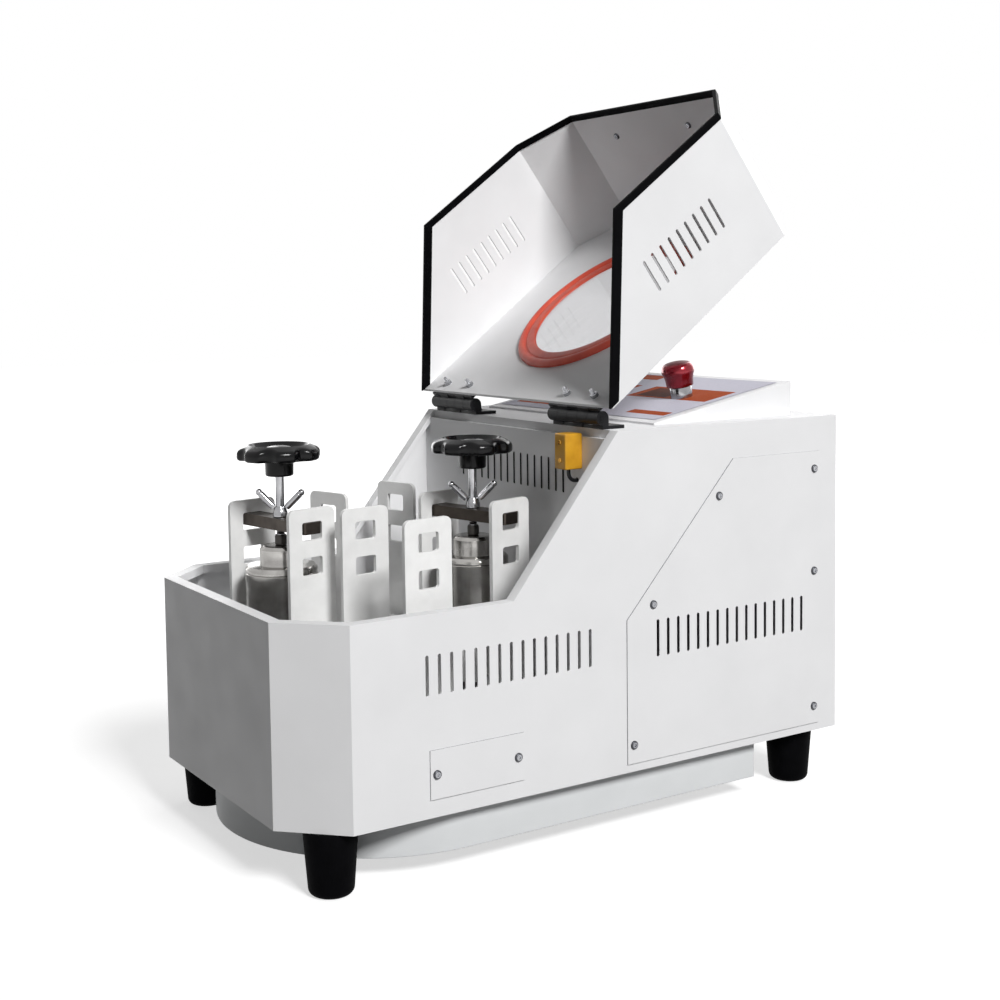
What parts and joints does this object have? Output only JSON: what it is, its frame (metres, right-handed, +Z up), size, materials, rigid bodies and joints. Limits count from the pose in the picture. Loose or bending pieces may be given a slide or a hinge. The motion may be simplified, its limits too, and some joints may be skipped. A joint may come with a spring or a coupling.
{
  "type": "planetary ball mill",
  "caption": "Bench planetary ball mill with a hinged hood standing open over its well, jar stations on a geared sun disc and clamped grinding jars.",
  "frame": {"origin": "on the table, midway between the sides and between the front and rear faces", "axes": "+Z up; -Y towards the front of the mill; +X towards the side with the stop button"},
  "size_m": [0.436, 0.75, 0.8734],
  "materials": {
    "white_coat": "fine textured powder coat",
    "grey_coat": "satin powder coat",
    "film": "printed polyester film",
    "rubber_black": "matt moulded rubber",
    "silicone_red": "moulded silicone",
    "clear_window": "clear sheet",
    "black_steel": "black coat",
    "stainless": "brushed stainless steel",
    "dark_steel": "blackened steel",
    "zinc_steel": "bright zinc plate",
    "holder_coat": "satin aluminium",
    "disc_steel": "turned steel",
    "cast_grey": "painted cast iron",
    "gear_steel": "ground steel",
    "wheel_black": "gloss phenolic",
    "stop_red": "metallic red",
    "switch_red": "moulded",
    "sensor_yellow": "moulded",
    "cable_black": "PVC sheath",
    "socket_black": "moulded",
    "motor_grey": "cast, painted",
    "belt_black": "belt rubber",
    "inverter_grey": "moulded"
  },
  "bodies": {
    "housing": {"casing": "white_coat", "floor_plate": "grey_coat", "belly_pan": "grey_coat", "well_back_wall": "white_coat", "rear_panel": "white_coat", "side_covers": "white_coat", "cover_screws": "zinc_steel", "feet": "rubber_black", "console_housing": "white_coat", "console_film": "film", "stop_collar": "stainless", "safety_sensor": "sensor_yellow", "sensor_lead": "cable_black", "hinge_fixed_leaves": "black_steel", "bearing_housing": "cast_grey", "main_bearings": "gear_steel", "sun_gear": "gear_steel", "motor": "motor_grey", "drive_belt": "belt_black", "inverter": "inverter_grey", "power_inlet": "socket_black"},
    "lid": {"lid_shell": "white_coat", "lid_trim": "rubber_black", "lid_window": "clear_window", "window_ring": "silicone_red", "lid_handle": "black_steel", "hinge_moving_leaves": "black_steel", "lid_fasteners": "zinc_steel"},
    "sun_wheel": {"sun_disc": "disc_steel", "main_shaft": "gear_steel", "carrier": "cast_grey", "planet_bearings": "gear_steel", "driven_pulley": "gear_steel"},
    "motor_drive": {"motor_pulley": "gear_steel"},
    "stop": {"stop_button": "stop_red"},
    "mains_switch": {"power_switch": "switch_red"},
    "idler_1": {"idler_gear_1": "gear_steel"},
    "holder_1": {"planet_spindle_1": "gear_steel", "jar_holder_1": "holder_coat", "jar_1": "stainless"},
    "idler_2": {"idler_gear_2": "gear_steel"},
    "holder_2": {"planet_spindle_2": "gear_steel", "jar_holder_2": "holder_coat"},
    "idler_3": {"idler_gear_3": "gear_steel"},
    "holder_3": {"planet_spindle_3": "gear_steel", "jar_holder_3": "holder_coat", "jar_3": "stainless"},
    "idler_4": {"idler_gear_4": "gear_steel"},
    "holder_4": {"planet_spindle_4": "gear_steel", "jar_holder_4": "holder_coat"},
    "bar_1": {"clamp_bar_1": "dark_steel"},
    "pad_1": {"pressure_pad_1": "dark_steel"},
    "screw_1": {"clamp_screw_1": "stainless", "handwheel_1": "wheel_black"},
    "nut_1": {"lock_nut_1": "stainless"},
    "bar_3": {"clamp_bar_3": "dark_steel"},
    "pad_3": {"pressure_pad_3": "dark_steel"},
    "screw_3": {"clamp_screw_3": "stainless", "handwheel_3": "wheel_black"},
    "nut_3": {"lock_nut_3": "stainless"}
  },
  "joints": [
    {"name": "lid_swing", "type": "hinge", "parent": "housing", "child": "lid", "pos_m": [0, 0.0292, 0.4831], "axis": [1, 0, 0], "range_deg": [0, 143]},
    {"name": "sun_wheel_spin", "type": "hinge", "parent": "housing", "child": "sun_wheel", "pos_m": [0, -0.164, 0.156], "axis": [0, 0, 1], "continuous": true},
    {"name": "motor_spin", "type": "hinge", "parent": "housing", "child": "motor_drive", "pos_m": [0, 0.156, 0.05], "axis": [0, 0, 1], "continuous": true},
    {"name": "stop_push", "type": "slide", "parent": "housing", "child": "stop", "axis": [0, -0.1818, 0.9833], "range_m": [-0.004, 0], "stiffness_N_per_m": 3000, "springref_m": 0.001},
    {"name": "switch_rock", "type": "hinge", "parent": "housing", "child": "mains_switch", "pos_m": [0.15, 0.366, 0.148], "axis": [1, 0, 0], "range_deg": [-20, 0]},
    {"name": "idler_spin_1", "type": "hinge", "parent": "sun_wheel", "child": "idler_1", "pos_m": [-0.02246, -0.22924, 0.132], "axis": [0, 0, 1], "continuous": true},
    {"name": "holder_spin_1", "type": "hinge", "parent": "sun_wheel", "child": "holder_1", "pos_m": [-0.0376, -0.27321, 0.156], "axis": [0, 0, 1], "continuous": true},
    {"name": "idler_spin_2", "type": "hinge", "parent": "sun_wheel", "child": "idler_2", "pos_m": [0.06524, -0.18646, 0.132], "axis": [0, 0, 1], "continuous": true},
    {"name": "holder_spin_2", "type": "hinge", "parent": "sun_wheel", "child": "holder_2", "pos_m": [0.10921, -0.2016, 0.156], "axis": [0, 0, 1], "continuous": true},
    {"name": "idler_spin_3", "type": "hinge", "parent": "sun_wheel", "child": "idler_3", "pos_m": [0.02246, -0.09876, 0.132], "axis": [0, 0, 1], "continuous": true},
    {"name": "holder_spin_3", "type": "hinge", "parent": "sun_wheel", "child": "holder_3", "pos_m": [0.0376, -0.05479, 0.156], "axis": [0, 0, 1], "continuous": true},
    {"name": "idler_spin_4", "type": "hinge", "parent": "sun_wheel", "child": "idler_4", "pos_m": [-0.06524, -0.14154, 0.132], "axis": [0, 0, 1], "continuous": true},
    {"name": "holder_spin_4", "type": "hinge", "parent": "sun_wheel", "child": "holder_4", "pos_m": [-0.10921, -0.1264, 0.156], "axis": [0, 0, 1], "continuous": true},
    {"name": "bar_slide_1", "type": "slide", "parent": "holder_1", "child": "bar_1", "axis": [0.9816, 0.1908, 0], "range_m": [-0.008, 0.008]},
    {"name": "pad_lift_1", "type": "slide", "parent": "bar_1", "child": "pad_1", "axis": [0, 0, 1], "range_m": [0, 0.005]},
    {"name": "screw_turn_1", "type": "hinge", "parent": "pad_1", "child": "screw_1", "pos_m": [-0.0376, -0.27321, 0.4], "axis": [0, 0, 1], "range_deg": [0, 900]},
    {"name": "nut_turn_1", "type": "hinge", "parent": "bar_1", "child": "nut_1", "pos_m": [-0.0376, -0.27321, 0.376], "axis": [0, 0, 1], "range_deg": [0, 120]},
    {"name": "bar_slide_3", "type": "slide", "parent": "holder_3", "child": "bar_3", "axis": [0.9686, 0.2487, 0], "range_m": [-0.008, 0.008]},
    {"name": "pad_lift_3", "type": "slide", "parent": "bar_3", "child": "pad_3", "axis": [0, 0, 1], "range_m": [0, 0.005]},
    {"name": "screw_turn_3", "type": "hinge", "parent": "pad_3", "child": "screw_3", "pos_m": [0.0376, -0.05479, 0.4], "axis": [0, 0, 1], "range_deg": [0, 900]},
    {"name": "nut_turn_3", "type": "hinge", "parent": "bar_3", "child": "nut_3", "pos_m": [0.0376, -0.05479, 0.376], "axis": [0, 0, 1], "range_deg": [0, 120]}
  ],
  "couplings": [
    {"joint": "motor_spin", "follows": "sun_wheel_spin", "ratio": 2.5},
    {"joint": "idler_spin_1", "follows": "sun_wheel_spin", "ratio": 1.875},
    {"joint": "holder_spin_1", "follows": "sun_wheel_spin", "ratio": -2},
    {"joint": "idler_spin_2", "follows": "sun_wheel_spin", "ratio": 1.875},
    {"joint": "holder_spin_2", "follows": "sun_wheel_spin", "ratio": -2},
    {"joint": "idler_spin_3", "follows": "sun_wheel_spin", "ratio": 1.875},
    {"joint": "holder_spin_3", "follows": "sun_wheel_spin", "ratio": -2},
    {"joint": "idler_spin_4", "follows": "sun_wheel_spin", "ratio": 1.875},
    {"joint": "holder_spin_4", "follows": "sun_wheel_spin", "ratio": -2},
    {"joint": "screw_turn_1", "follows": "pad_lift_1", "rad_per_m": 3141.6},
    {"joint": "screw_turn_3", "follows": "pad_lift_3", "rad_per_m": 3141.6}
  ]
}
